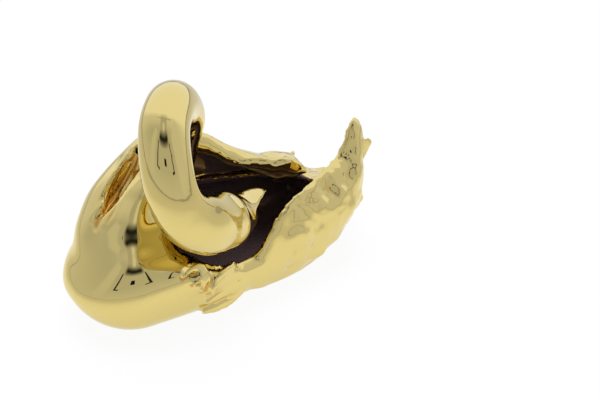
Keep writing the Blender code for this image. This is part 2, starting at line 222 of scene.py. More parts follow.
# A painted pool of light: for reflected rays the card glows brightest around the swan, as the mirror
# finish shows
painted_light_spot = add_node(card_tree, "ShaderNodeTexCoord").outputs["Object"]
painted_light_spot = add_node(card_tree, "ShaderNodeVectorMath", {"operation": "LENGTH"}, {
    0: painted_light_spot}).outputs["Value"]
painted_light_spot = add_node(card_tree, "ShaderNodeMapRange", {"interpolation_type": "SMOOTHSTEP"}, {
    0: painted_light_spot, 1: SPOT_FULL, 2: SPOT_END, 3: 1.0, 4: SPOT_LEFT}).outputs[0]
painted_light_spot = add_node(card_tree, "ShaderNodeMath", {"operation": "MAXIMUM"}, {
    0: painted_light_spot, 1: rays["Is Camera Ray"]}).outputs[0]
glow = add_node(card_tree, "ShaderNodeEmission", inputs={"Color": painted_light_spot})
share = add_node(card_tree, "ShaderNodeMath", {"operation": "MAXIMUM"}, {
    0: rays["Is Glossy Ray"], 1: rays["Is Transmission Ray"]}).outputs[0]
share = add_node(card_tree, "ShaderNodeMath", {"operation": "MULTIPLY"}, {
    0: share, 1: TABLE_MIRRORED}).outputs[0]
share = add_node(card_tree, "ShaderNodeMath", {"operation": "MULTIPLY_ADD"}, {
    0: rays["Is Camera Ray"], 1: TABLE_SEEN, 2: share}).outputs[0]
mixed = add_node(card_tree, "ShaderNodeMixShader", inputs={
    0: share, 1: card_shader.outputs[0], 2: glow.outputs[0]})
card_tree.links.new(mixed.outputs[0], card_tree.nodes["Material Output"].inputs["Surface"])
table_mesh.materials.append(card)

lamp = bpy.data.objects.new("overhead_box", bpy.data.lights.new("overhead_box", "AREA"))
bpy.context.collection.objects.link(lamp)
lamp.data.shape = "RECTANGLE"
lamp.data.size = 0.6
lamp.data.size_y = 0.45
lamp.data.energy = 4.0
lamp.location = (0.0, 0.1, 0.8)
lamp.visible_glossy = False

# Casting, first surfaces
# One hollow casting in gold-coloured metal. Its wax parts were body, neck, two wings and
# loose feathers, melted together before casting, so the seams run soft


def curve(points, count):
    """Catmull-Rom curve: cubic pieces through the points with half the chord as slope."""
    knots = np.asarray(points, dtype=float)
    padded = np.vstack((knots[:1], knots, knots[-1:]))
    steps = np.linspace(0.0, len(knots) - 1.0, count)
    i = np.minimum(steps.astype(int), len(knots) - 2)
    t = (steps - i)[:, None]
    before, start, end, after = padded[i], padded[i + 1], padded[i + 2], padded[i + 3]
    tangent_in = 0.5 * (end - before)
    tangent_in = np.where(i[:, None] == 0, 0.5 * (end - start), tangent_in)
    tangent_out = 0.5 * (after - start)
    return (
        (2 * t**3 - 3 * t**2 + 1) * start
        + (t**3 - 2 * t**2 + t) * tangent_in
        + (3 * t**2 - 2 * t**3) * end
        + (t**3 - t**2) * tangent_out
    )


def unit(vectors):
    """Each vector over its own length."""
    vectors = np.asarray(vectors, dtype=float)
    return vectors / np.maximum(np.linalg.norm(vectors, axis=-1, keepdims=True), 1e-9)


def loft(name, grid):
    """Closed mesh over a grid of rings by points, each end ring filled with rungs across it."""
    rings, sides = grid.shape[:2]
    ids = np.arange(rings * sides).reshape(rings, sides)
    turned = np.roll(ids, -1, axis=1)
    walls = np.stack((ids[:-1], turned[:-1], turned[1:], ids[1:]), axis=-1).reshape(-1, 4)
    k = np.arange(sides // 2 - 1)
    rungs = np.stack((k, k + 1, sides - 2 - k, sides - 1 - k), axis=-1)
    faces = np.vstack((walls, ids[0][::-1][rungs], ids[-1][rungs]))
    mesh = bpy.data.meshes.new(name)
    mesh.from_pydata((grid.reshape(-1, 3) - MIDDLE) * MM, [], faces.tolist())
    shape = bmesh.new()
    shape.from_mesh(mesh)
    bmesh.ops.triangulate(shape, faces=shape.faces)
    if shape.calc_volume(signed=True) < 0.0:
        bmesh.ops.reverse_faces(shape, faces=shape.faces)
    shape.to_mesh(mesh)
    shape.free()
    piece = bpy.data.objects.new(name, mesh)
    bpy.context.collection.objects.link(piece)
    return piece


# Body
# A hollow shell with a round breast, a flat sole and a drawn-out tail, its back left open.
# Its wall is about 3 mm of cast metal
BREAST_X = -52.0
BREAST_RADIUS = 33.0
TAIL_X = 99.0
WALL = 3.2
SOLE_CUT = 0.8
# x, left and right width, belt height left and right,
# depth below the belt left and right, height above it left and right
BODY_STATIONS = np.array([
    (BREAST_X, 34.0, 33.0, 26.0, 26.0, 26.0, 26.0, 25.0, 25.0),
    (-30.0, 36.0, 36.0, 26.0, 26.0, 26.0, 26.0, 16.0, 27.0),
    (-10.0, 35.5, 38.0, 24.0, 24.0, 24.0, 24.0, 7.0, 26.0),
    (10.0, 34.5, 38.5, 22.0, 23.0, 22.0, 23.0, 9.0, 23.0),
    (30.0, 31.5, 38.5, 21.0, 21.0, 21.0, 21.0, 14.0, 20.0),
    (50.0, 29.0, 38.5, 22.0, 20.0, 20.0, 20.0, 14.0, 18.0),
    (66.0, 26.0, 38.5, 28.0, 18.0, 12.0, 16.0, 9.0, 15.0),
    (84.0, 20.0, 39.5, 33.0, 15.0, 3.5, 7.0, 3.0, 7.0),
    (92.0, -4.0, 39.0, 24.0, 13.0, 3.0, 4.0, 2.5, 4.0),
    (TAIL_X, -16.0, 36.0, 14.0, 9.0, 1.2, 1.5, 1.2, 1.5),
])


def body_grid(inset, rear, rings, sides):
    """Superellipse sections about the belt line, |y|^n + |z|^n = 1, with n from 2 to 3.6 above.

    Ahead of the breast station each section shrinks as a ball's does.
    """
    angles = np.linspace(0.06, 0.5 * math.pi, rings // 4, endpoint=False)
    tail = np.linspace(BREAST_X, rear, rings - len(angles))
    x = np.concatenate((BREAST_X - (BREAST_RADIUS - inset) * np.cos(angles), tail))[:, None]
    size = np.concatenate((np.sin(angles), np.ones(len(tail))))[:, None]
    rows = curve(BODY_STATIONS, 400)
    at = np.maximum(x, BREAST_X)
    columns = [np.interp(at, rows[:, 0], column) for column in rows.T[1:]]
    left, right, belt_l, belt_r, depth_l, depth_r, height_l, height_r = columns
    left, right = left - inset, right - inset
    turn = np.linspace(0.0, 2.0 * math.pi, sides, endpoint=False)[None, :]
    across, up = np.cos(turn), np.sin(turn)
    blend = np.clip((x - BREAST_X) / 60.0, 0.0, 1.0)
    power = 2.0 / np.where(up > 0.0, 2.0 + 1.6 * blend, 2.6)
    y = 0.5 * (left + right) * np.sign(across) * np.abs(across) ** power
    share = 0.5 + y / (left + right)
    belt = belt_l + (belt_r - belt_l) * share
    depth = depth_l + (depth_r - depth_l) * share - inset + SOLE_CUT
    height = height_l + (height_r - height_l) * share - inset
    reach = np.where(up > 0.0, height * size**2.2, depth * size)
    z = belt + reach * np.sign(up) * np.abs(up) ** power
    y = 0.5 * (right - left) + y * size
    return np.stack((np.broadcast_to(x, y.shape), y, z), axis=-1)


def mouth_grid():
    """Mouth of the hollow back: one smooth outline, carried up and narrowed at its foot."""
    outline = curve([
        (-34.0, -20.0), (-22.0, -29.0), (-4.0, -30.0), (20.0, -28.5), (44.0, -23.0),
        (64.0, -12.0), (71.0, 2.0), (62.0, 16.0), (42.0, 24.0), (18.0, 31.0),
        (0.0, 31.0), (-5.0, 20.0), (-10.0, 4.0), (-24.0, -6.0), (-34.0, -20.0),
    ], 97)[:-1]
    centre = np.array((18.5, 0.0))
    levels = ((12.0, 0.86), (24.0, 0.97), (36.0, 1.0), (90.0, 1.0))
    rings = [np.column_stack((centre + (outline - centre) * size, np.full(96, z)))
             for z, size in levels]
    return np.array(rings)


# Neck and head
# One round bar that rises from the breast, loops over it and comes down on the left, where
# it swells to the head and narrows to the flat bill over the hollow
# x, y, z, radius, height over width
NECK_STOPS = [
    (-48.0, 3.0, 27.0, 28.5, 1.0),
    (-42.0, 7.0, 39.0, 25.5, 1.0),
    (-33.0, 12.0, 52.0, 19.5, 1.0),
    (-21.5, 13.5, 66.0, 14.0, 1.0),
    (-16.5, 14.8, 82.0, 13.6, 1.0),
    (-15.0, 9.5, 97.0, 13.0, 1.0),
    (-21.0, 2.0, 109.5, 12.4, 1.0),
    (-30.0, -8.5, 115.5, 11.9, 1.0),
    (-39.0, -19.5, 112.0, 11.9, 1.0),
    (-44.0, -30.0, 100.0, 12.2, 1.0),
    (-43.8, -36.0, 86.0, 12.7, 1.0),
    (-37.5, -36.5, 73.5, 13.6, 1.0),
    (-27.0, -33.0, 63.0, 14.9, 1.0),
    (-16.0, -25.5, 54.8, 15.6, 1.0),
    (-6.0, -20.5, 50.5, 15.0, 1.0),
    (2.5, -17.5, 49.5, 12.0, 0.95),
    (8.5, -14.5, 50.5, 9.0, 0.85),
    (14.5, -11.8, 51.8, 6.6, 0.65),
    (21.0, -9.4, 51.8, 4.4, 0.5),
    (27.0, -7.2, 49.8, 1.6, 0.5),
]


def tube_grid(rows, sides):
    """Rings square to a path, their first spoke carried along without twist and pressed level."""
    path, radii, flat = rows[:, :3], rows[:, 3], rows[:, 4]
    tangents = unit(np.gradient(path, axis=0))
    side = np.cross(tangents[0], (0.0, 0.0, 1.0))
    turn = np.linspace(0.0, 2.0 * math.pi, sides, endpoint=False)[:, None]
    rings = []
    for point, tangent, radius, press in zip(path, tangents, radii, flat):
        side = unit(side - tangent * np.dot(side, tangent))
        rise = np.cross(side, tangent)
        above = np.array((0.0, 0.0, 1.0)) - tangent * tangent[2]
        above /= max(np.linalg.norm(above), 0.001)
        spokes = radius * (np.cos(turn) * side + np.sin(turn) * rise)
        rings.append(point + spokes - (1.0 - press) * (spokes @ above)[:, None] * above)
    return np.array(rings)


# Wings
# The right wing is a smooth plate folded over the flank, its rim turned in. The left wing is
# a pressed plate that stands up to a point at the rear
# Right wing: foot x y z, crest x y z, bulge x y z, share of the full skin
RIGHT_WING_STOPS = [
    (-76.5, 4.0, 37.5, -65.5, 7.0, 51.0, -2.0, 1.0, 1.5, 0.3),
    (-71.0, 21.5, 39.5, -56.5, 15.0, 61.0, -2.5, 2.5, 1.0, 0.8),
    (-54.0, 35.5, 43.0, -44.5, 20.0, 71.5, -2.5, 4.5, 2.5, 1.0),
    (-31.0, 39.0, 45.0, -31.0, 25.0, 81.5, -0.5, 6.0, 3.0, 1.0),
    (-12.0, 40.0, 43.0, -15.5, 29.5, 83.0, 0.0, 7.0, 2.0, 1.0),
    (4.0, 39.5, 40.0, -1.0, 24.0, 80.0, 0.5, 7.5, 2.5, 1.0),
    (16.0, 39.0, 38.0, 10.0, 21.5, 74.0, 1.0, 7.0, 2.5, 1.0),
    (26.0, 38.5, 36.0, 20.0, 19.0, 66.0, 1.5, 6.0, 3.0, 1.0),
    (36.0, 38.0, 34.0, 30.0, 15.5, 60.0, 1.5, 5.0, 4.0, 1.0),
    (45.0, 38.0, 31.0, 40.0, 11.5, 55.5, 2.0, 4.0, 5.0, 1.0),
    (54.0, 37.5, 28.0, 50.0, 7.5, 54.5, 2.0, 4.0, 6.0, 1.0),
    (62.0, 36.5, 25.0, 58.0, 6.0, 50.0, 2.0, 3.0, 6.0, 0.9),
    (69.0, 34.0, 22.0, 64.0, 8.0, 40.0, 1.0, 2.0, 4.0, 0.5),
]
# Left wing: x, foot y z, rim y z, bulge y, share of the full skin
LEFT_WING_STOPS = [
    (-6.0, -31.5, 17.0, -31.5, 26.0, -1.0, 0.5),
    (2.0, -32.0, 10.0, -31.5, 27.5, -2.0, 1.0),
    (9.0, -32.0, 7.5, -31.5, 32.5, -3.0, 1.0),
    (14.5, -31.5, 7.0, -31.0, 41.0, -3.5, 1.0),
    (20.0, -31.0, 6.5, -29.5, 47.0, -4.0, 1.0),
    (28.0, -30.0, 6.0, -28.0, 52.5, -5.5, 1.0),
    (38.0, -29.0, 6.5, -26.0, 56.0, -6.5, 1.0),
    (50.0, -27.5, 9.0, -21.5, 57.5, -8.0, 1.0),
    (60.0, -26.5, 15.0, -17.5, 59.0, -9.0, 1.0),
    (70.0, -25.0, 22.5, -13.5, 61.8, -8.5, 1.0),
    (76.5, -23.0, 28.0, -10.5, 71.8, -7.0, 1.0),
    (81.0, -21.0, 32.5, -9.0, 76.8, -5.0, 1.0),
    (84.0, -18.5, 40.0, -8.0, 77.3, -3.5, 1.0),
    (86.5, -15.5, 50.0, -8.0, 75.5, -2.0, 1.0),
    (88.5, -12.0, 60.0, -8.5, 70.3, -1.0, 0.9),
]


# Skin at the foot and at the rim of each wing
RIGHT_SKIN = (5.0, 3.6)
LEFT_SKIN = (4.0, 3.0)


def plate_grid(foot, rim, bulge, inward, foot_skin, rim_skin, points):
    """Straight from foot to rim, bowed by 4t(1 - t) of the bulge, with a skin laid inward."""
    t = np.linspace(0.0, 1.0, points)[None, :, None]
    outer = foot[:, None] + (rim - foot)[:, None] * t + bulge[:, None] * 4.0 * t * (1.0 - t)
    skin = foot_skin[:, None, None] * (1.0 - t) + rim_skin[:, None, None] * t
    inner = outer + unit(inward)[:, None] * skin
    return np.concatenate((outer, inner[:, ::-1]), axis=1)


def right_wing_grid(rings, points):
    """Plate from foot to crest, its skin laid inward and tipped toward the tail along its length."""
    rows = curve(RIGHT_WING_STOPS, rings)
    lean = np.column_stack((
        -(rows[:, 0] + 15.0) / 80.0, np.full(rings, -0.85), np.full(rings, -0.4)))
    skins = [skin * rows[:, 9] for skin in RIGHT_SKIN]
    return plate_grid(rows[:, 0:3], rows[:, 3:6], rows[:, 6:9], lean, *skins, points)


def left_wing_grid(rings, points):
    """Plate from foot to rim in upright planes, its skin laid toward the hollow."""
    rows = curve(LEFT_WING_STOPS, rings)
    none = np.zeros(rings)
    bulge = np.column_stack((none, rows[:, 5], none))
    inward = np.tile((0.0, 1.0, 0.0), (rings, 1))
    skins = [skin * rows[:, 6] for skin in LEFT_SKIN]
    return plate_grid(rows[:, [0, 1, 2]], rows[:, [0, 3, 4]], bulge, inward, *skins, points)


# Feathers
# Loose wax leaves, laid on and melted in at the tail, on the left flank and along the rim.
# Each has a middle line, half-widths and depths along it, and a direction across
FEATHERS = [
    ("second_tip",
     [(83.0, -13.0, 51.0), (88.0, -11.0, 56.0), (92.0, -9.8, 59.7), (94.5, -9.2, 61.6)],
     [6.0, 5.8, 5.2, 3.4], (0.6, 0.2, -0.7), 2.6),
    ("thin_tip",
     [(76.0, 4.0, 25.0), (88.0, 4.0, 25.5), (96.0, 4.0, 26.5), (102.5, 4.0, 31.0)],
     [8.0, 5.0, 2.6, 1.2], (0.0, 1.0, 0.1), 2.6),
    ("leaf_tip",
     [(74.0, 27.0, 14.0), (86.0, 32.0, 10.0), (96.0, 36.5, 6.0), (103.0, 39.0, 3.5)],
     [9.0, 8.0, 5.5, 1.4], (-0.3, 1.0, 0.1), 3.2),
    ("lobe_tip",
     [(72.0, 25.5, 17.0), (84.0, 28.0, 16.5), (94.0, 30.0, 16.5), (101.5, 31.0, 17.5)],
     [7.5, 7.0, 5.2, 1.4], (0.0, 0.3, 1.0), 3.2),
    ("curl_tip",
     [(56.0, 25.0, 27.0), (63.0, 28.0, 30.5), (68.5, 30.3, 34.5), (71.5, 31.0, 39.0)],
     [5.0, 4.5, 3.2, 1.4], (0.8, 0.2, -0.6), 3.2),
    ("lower_leaf",
     [(0.0, -33.5, 17.0), (-9.0, -34.5, 14.5), (-18.0, -34.5, 11.5), (-28.0, -33.5, 9.0)],
     [2.5, 5.0, 4.5, 1.4], (0.15, 0.4, 1.0), 3.2),
    ("middle_leaf",
     [(-1.0, -34.0, 20.5), (-9.0, -35.0, 20.0), (-18.0, -35.5, 18.5), (-27.0, -35.3, 16.0)],
     [3.0, 4.5, 3.5, 1.4], (-0.3, 0.1, 1.0), 3.2),
    ("upper_leaf",
     [(-2.0, -33.5, 23.5), (-11.0, -34.5, 25.5), (-21.0, -35.5, 27.0), (-32.0, -34.5, 26.0)],
     [3.0, 5.0, 4.0, 1.4], (0.1, 0.1, 1.0), 3.2),
    ("band",
     [(-8.0, -31.0, 30.5), (-13.0, -34.0, 30.0), (-19.0, -36.2, 30.5), (-25.0, -37.0, 28.5)],
     [2.0, 3.2, 3.2, 1.4], (0.1, -0.2, 1.0), 3.6),
    ("petal_a",
     [(-25.5, -32.0, 36.5), (-29.5, -32.9, 38.6), (-34.0, -33.4, 39.4), (-39.5, -34.2, 37.8)],
     [1.6, 2.4, 2.2, 1.2], (0.2, -0.3, 1.0), 4.0),
    ("petal_b",
     [(-25.5, -33.0, 34.8), (-28.8, -35.4, 35.2), (-32.4, -37.0, 34.4), (-36.2, -37.8, 32.6)],
     [1.6, 2.6, 2.3, 1.2], (0.3, -0.3, 1.0), 4.2),
    ("petal_c",
     [(-24.5, -33.5, 34.0), (-26.7, -36.0, 32.4), (-29.2, -38.0, 30.0), (-31.4, -38.6, 26.4)],
     [1.6, 2.5, 2.2, 1.2], (1.0, -0.2, 0.6), 4.2),
    ("petal_d",
     [(-21.5, -34.0, 33.0), (-22.8, -36.6, 30.4), (-24.4, -38.6, 27.4), (-25.6, -39.2, 23.4)],
     [1.5, 2.2, 2.0, 1.2], (1.0, 0.0, 0.4), 4.0),
    ("hem_front",
     [(-22.0, 23.5, 73.0), (-14.0, 25.5, 75.5), (-2.0, 22.0, 73.0), (9.0, 19.0, 68.0),
      (19.0, 16.5, 60.0), (29.0, 12.5, 55.0)],
     [2.0, 5.5, 6.2, 5.6, 5.2, 2.0], (0.0, 0.15, 1.0), 4.6),
    ("hem_rear",
     [(23.0, 14.5, 57.0), (33.0, 11.0, 54.0), (42.0, 7.5, 50.5), (51.0, 4.5, 49.5),
      (61.0, 4.5, 45.0)],
     [2.0, 5.0, 6.4, 6.0, 2.4], (0.0, 0.1, 1.0), 5.0),
]
# Slits cut between the small leaves
SLITS = [
    [(-27.0, -34.0, 36.8), (-32.0, -36.0, 37.2), (-37.5, -37.0, 35.6)],
    [(-26.0, -35.0, 34.2), (-29.6, -37.6, 33.0), (-33.4, -39.0, 30.0)],
    [(-23.2, -35.4, 32.6), (-25.6, -38.0, 30.0), (-28.2, -39.6, 25.6)],
    [(-14.0, -38.4, 16.2), (-19.0, -38.8, 15.4), (-24.0, -38.4, 13.8)],
    [(-5.0, -37.0, 24.0), (-9.0, -38.0, 23.0), (-14.0, -38.6, 22.6)],
]
SLIT_WIDTHS = [0.5, 1.0, 0.5]
SLIT_DEPTH = 5.5
# A leaf-shaped hollow between the neck and the right wing, and the wax that floors it
GROOVE = ([(-33.5, 18.5, 79.5), (-38.5, 17.5, 74.0), (-44.0, 15.5, 68.5), (-50.0, 13.0, 63.5),
           (-55.5, 10.0, 59.0), (-60.0, 7.5, 56.0)],
          [1.0, 3.2, 4.6, 4.6, 3.2, 1.0], (0.856, -0.518, 0.0), [4.0, 9.0, 11.0, 11.0, 8.0, 3.0])
GROOVE_FLOOR = ([(-32.0, 22.5, 75.0), (-39.0, 21.0, 67.0), (-46.0, 18.0, 60.0),
                 (-57.0, 12.0, 50.0)],
                [5.0, 7.5, 8.0, 6.0], (0.856, -0.518, 0.0), 11.0)


def feather_grid(path, widths, across, depths, rings, sides):
    """Ellipse of the half-width by half the depth, carried along the middle line."""
    rows = curve(path, rings)
    half = curve([(width,) for width in widths], rings)[:, :, None]
    depth = curve([(depth,) for depth in np.broadcast_to(depths, len(widths))], rings)[:, :, None]
    across = unit(across)
    normal = unit(np.cross(np.gradient(rows, axis=0), across))[:, None]
    turn = np.linspace(0.0, 2.0 * math.pi, sides, endpoint=False)[None, :, None]
    return rows[:, None] + across * half * np.cos(turn) + normal * 0.5 * depth * np.sin(turn)


# Melting together
# The wax pieces were joined hot and the joints smoothed over, so they run into each other.
# The pieces are united, cut and then laid on one fine grid, which rounds every joint
SOLE_GRID = np.array([
    [(x, y, z) for y, z in ((-60.0, -10.0), (60.0, -10.0), (60.0, 0.0), (-60.0, 0.0))]
    for x in (-90.0, 110.0)])
swan = loft("swan_casting", body_grid(0.0, TAIL_X, 72, 64))
steps = [
    ("mouth", mouth_grid(), "DIFFERENCE"),
    ("neck", tube_grid(curve(NECK_STOPS, 160), 40), "UNION"),
    ("hollow", body_grid(WALL, 72.0, 48, 48), "DIFFERENCE"),
    ("right_wing", right_wing_grid(72, 17), "UNION"),
    ("left_wing", left_wing_grid(76, 17), "UNION"),
]
steps += [
    (name, feather_grid(line, widths, across, depth, 25, 12), "UNION")
    for name, line, widths, across, depth in FEATHERS]
steps += [
    (f"slit_{i}", feather_grid(line, SLIT_WIDTHS, (0.1, 0.1, 1.0), SLIT_DEPTH, 13, 8), "DIFFERENCE")
    for i, line in enumerate(SLITS)]
steps += [
    ("groove_floor", feather_grid(*GROOVE_FLOOR, 25, 12), "UNION"),
    ("groove", feather_grid(*GROOVE, 33, 16), "DIFFERENCE"),
    ("sole", SOLE_GRID, "DIFFERENCE"),
]
tools = [loft(name, grid) for name, grid, operation in steps]
for tool, (name, grid, operation) in zip(tools, steps):
    step = swan.modifiers.new(name, "BOOLEAN")
    step.operation = operation
    step.object = tool


def settle(piece):
    """Give the piece the mesh that its modifiers make, and clear them."""
    depsgraph = bpy.context.evaluated_depsgraph_get()
    finished = bpy.data.meshes.new_from_object(piece.evaluated_get(depsgraph))
    piece.modifiers.clear()
    piece.data = finished


settle(swan)
for tool in tools:
    bpy.data.objects.remove(tool, do_unlink=True)

VOXEL = 1.1
step = swan.modifiers.new("melt", "REMESH")
step.mode = "VOXEL"
step.voxel_size = VOXEL * MM
settle(swan)


def read_array(items, field, width):
    """Array of one field of a mesh's items, width numbers a row."""
    values = np.empty(len(items) * width, dtype=np.int64 if field == "vertices" else np.float64)
    items.foreach_get(field, values)
    return values.reshape(-1, width)


def write_points(mesh, points):
    """Put the points back into the mesh, in metres about the middle."""
    mesh.vertices.foreach_set("co", ((points - MIDDLE) * MM).ravel())
    mesh.update()


edges = read_array(swan.data.edges, "vertices", 2)
counts = np.maximum(np.bincount(edges.ravel()), 1)[:, None]


def neighbour_mean(values):
    """Mean of the neighbours' values at each point."""
    total = np.zeros_like(values)
    for k in range(values.shape[1]):
        total[:, k] += np.bincount(edges[:, 0], values[edges[:, 1], k], len(values))
        total[:, k] += np.bincount(edges[:, 1], values[edges[:, 0], k], len(values))
    return total / counts


SMOOTH_STEP = 0.55
SMOOTH_BACK = 0.57


def smooth_points(points, rounds, share=1.0):
    """Taubin smoothing: a step toward the neighbours' mean, then a slightly longer step back."""
    for round_number in range(rounds):
        points = points + share * SMOOTH_STEP * (neighbour_mean(points) - points)
        points = points - share * SMOOTH_BACK * (neighbour_mean(points) - points)
    return points


def ease(values, none, full):
    """Smooth step from 0 at none to 1 at full."""
    t = np.clip((values - none) / (full - none), 0.0, 1.0)
    return t * t * (3.0 - 2.0 * t)


X, Y, Z = 0, 1, 2


def region(points, *sides):
    """Product of smooth steps, each along one axis from 0 at none to 1 at full."""
    share = np.ones(len(points))
    for axis, none, full in sides:
        share *= ease(points[:, axis], none, full)
    return share


WAVES = 40


def ripple(points, relief, seed):
    """Sum of plane waves in random directions and phases, about relief's depth and wavelength."""
    depth, length = relief
    draw = np.random.default_rng(seed)
    waves = unit(draw.normal(size=(WAVES, 3))) * 2.0 * math.pi / length
    waves *= draw.uniform(0.7, 1.3, (WAVES, 1))
    phases = draw.uniform(0.0, 2.0 * math.pi, WAVES)
    return depth * np.cos(points @ waves.T + phases).sum(axis=1) / math.sqrt(0.5 * WAVES)


points = read_array(swan.data.vertices, "co", 3) / MM + MIDDLE
# The small leaves and the tail keep more of their edges, the thin rim of the left wing fewer
CRISP_KEPT = 0.75
MELT_ROUNDS = 10
RIM_ROUNDS = 24
ROUND_OFF = 7
crisp = np.maximum(
    region(points, (Y, -27.0, -31.0), (X, 2.0, -4.0), (X, -44.0, -40.0)),
    region(points, (X, 66.0, 72.0), (Z, 34.0, 26.0)))
points = smooth_points(points, MELT_ROUNDS, 1.0 - CRISP_KEPT * crisp[:, None])
thin = region(points, (X, 8.0, 14.0), (Y, 2.0, -4.0), (Z, 34.0, 42.0))[:, None]
points = smooth_points(points, RIM_ROUNDS, thin)
for round_number in range(ROUND_OFF):
    points = points + 0.5 * thin * (neighbour_mean(points) - points)
write_points(swan.data, points)
normals = read_array(swan.data.vertices, "normal", 3)
x, y, z = points.T

# Wax surface
# The valley between neck and breast was filled and rubbed round, the left wing pressed out
# with the fingers, the tail combed, the folds pinched
groove_line = curve(GROOVE[0], 40)
FAR_AWAY = 99.0
groove_gap = np.full(len(points), FAR_AWAY)
for row in groove_line:
    groove_gap = np.minimum(groove_gap, np.linalg.norm(points - row, axis=1))
filled = region(points, (X, -24.0, -36.0), (Z, 20.0, 28.0), (Z, 92.0, 80.0))
filled *= ease(groove_gap, 8.0, 12.0) * ease(-x - 0.5 * y, 40.0, 54.0)
filled *= ease(normals[:, 2], -0.5, -0.2)
# Only outward steps toward the neighbours' mean raise the valley, then one full step evens it
FILL_PASSES = 30
FILL_ROUNDS = 20
where = np.flatnonzero(filled > 0.0)
number = np.full(len(points), -1)
number[where] = np.arange(len(where))
links = number[edges]
links = links[(links >= 0).all(axis=1)]
link_counts = np.maximum(np.bincount(links.ravel(), minlength=len(where)), 1)[:, None]
fill_share = filled[where, None]
for pass_number in range(FILL_PASSES):
    local = points[where]
    facing = normals[where]
    for round_number in range(FILL_ROUNDS):
        total = np.column_stack([
            np.bincount(links[:, 0], local[links[:, 1], k], len(where))
            + np.bincount(links[:, 1], local[links[:, 0], k], len(where)) for k in range(3)])
        move = total / link_counts - local
        rise = np.maximum((move * facing).sum(axis=1, keepdims=True), 0.0)
        local = local + fill_share * rise * facing
    points[where] = local + fill_share * move
    write_points(swan.data, points)
    normals = read_array(swan.data.vertices, "normal", 3)
x, y, z = points.T
# The relief is laid along evened-out normals, so that it leaves no teeth on an edge
NORMAL_ROUNDS = 6
for round_number in range(NORMAL_ROUNDS):
    normals = neighbour_mean(normals)
normals = unit(normals)
neck_line = curve(NECK_STOPS, 160)
neck_gap = np.full(len(points), FAR_AWAY)
for row in neck_line:
    neck_gap = np.minimum(neck_gap, np.linalg.norm(points - row[:3], axis=1) - row[3])
off_neck = ease(neck_gap, 1.0, 4.0)
# Depth and wavelength of each relief
DENTS = (0.6, 14.0)
FOLDS = (0.2, 11.0)
PINCHES = (0.1, 7.0)
COMBING = (0.26, 5.0)
TAIL_DENTS = (0.25, 13.0)
FLANK_DENTS = (0.16, 24.0)
LOBE_DENTS = (0.2, 9.0)
HEM_DENTS = (0.16, 8.0)
LEAF_DENTS = (0.06, 7.0)
STRANDS = (0.45, 4.5)
# A relief runs on in the direction in which its points are squeezed
COMB_SQUEEZE = np.array((0.22, 1.0, 1.0))
HEM_SQUEEZE = np.array((1.0, 1.0, 0.5))
STRAND_SQUEEZE = 0.75

plate = region(points, (X, 12.0, 26.0), (Z, 6.0, 16.0), (Y, -2.0, -6.0))
plate *= ease(-normals[:, 1], 0.3, 0.75) * off_neck
crumple = plate * region(points, (X, 22.0, 40.0))
folds = np.abs(ripple(points, (1.0, FOLDS[1]), 5)).clip(0.0, 1.0)
folds = FOLDS[0] * (1.0 - 2.0 * folds)
lift = plate * ripple(points, DENTS, 3) + crumple * (folds + ripple(points, PINCHES, 7))
rear = region(points, (X, 58.0, 70.0), (Y, 4.0, 14.0))
rear *= ease(normals[:, 1] + normals[:, 2], 0.0, 0.6)
lift += rear * (ripple(points * COMB_SQUEEZE, COMBING, 9) + ripple(points, TAIL_DENTS, 11))
flank = region(points, (Y, 12.0, 20.0), (X, -60.0, -40.0), (X, 66.0, 50.0)) * off_neck
lift += flank * ripple(points, FLANK_DENTS, 13)
lobes = region(points, (X, 36.0, 44.0), (Z, 34.0, 42.0), (Y, -2.0, 6.0))
lift += lobes * ripple(points, LOBE_DENTS, 15)
hem = region(points, (X, -22.0, -14.0), (Z, 46.0, 52.0), (Y, 0.0, 6.0))
hem *= off_neck * ease(-normals[:, 1], -0.3, 0.2)
lift += hem * ripple(points * HEM_SQUEEZE, HEM_DENTS, 17)
leaves = region(
    points, (X, -2.0, -8.0), (Y, -28.0, -32.0), (X, -42.0, -38.0), (Z, 40.0, 36.0), (Z, 8.0, 12.0))
lift += leaves * off_neck * ripple(points, LEAF_DENTS, 19)
along = unit(groove_line[-1] - groove_line[0])
stretched = points - STRAND_SQUEEZE * (points @ along)[:, None] * along
in_groove = ease(-groove_gap, -8.5, -5.0)
lift += in_groove * ripple(stretched, STRANDS, 21)
points = points + normals * lift[:, None]
points = smooth_points(points, 2)
write_points(swan.data, points)
normals = read_array(swan.data.vertices, "normal", 3)
x, y, z = points.T
swan.data.shade_smooth()

# Bare hollow and painted reflection in the creases
# The plating didn't reach the walls of the hollow below the turned-in rim, and the amber that the
# gold mirrors into its creases is painted in there as a painted reflection. Both are stored on the
# points for the finish below
# Place along the swan and height up to which the wall is bare, on the right and on the left
RIGHT_RIM = np.array([
    (-40.0, 64.0), (-14.0, 70.0), (0.0, 67.5), (10.0, 62.5), (20.0, 55.0), (30.0, 49.5),
    (40.0, 45.0), (50.0, 44.0), (58.0, 40.0), (64.0, 36.0), (80.0, 33.0)])
LEFT_RIM = np.array([
    (-6.0, 24.0), (9.0, 29.0), (14.5, 37.0), (20.0, 43.0), (28.0, 48.0), (38.0, 51.0),
    (50.0, 50.0), (60.0, 46.0), (70.0, 40.0), (84.0, 34.0)])
RIM_PARTING = -4.0
HOLLOW_LOW = np.array((-44.0, -36.0, 2.0))
HOLLOW_HIGH = np.array((84.0, 36.0, 90.0))
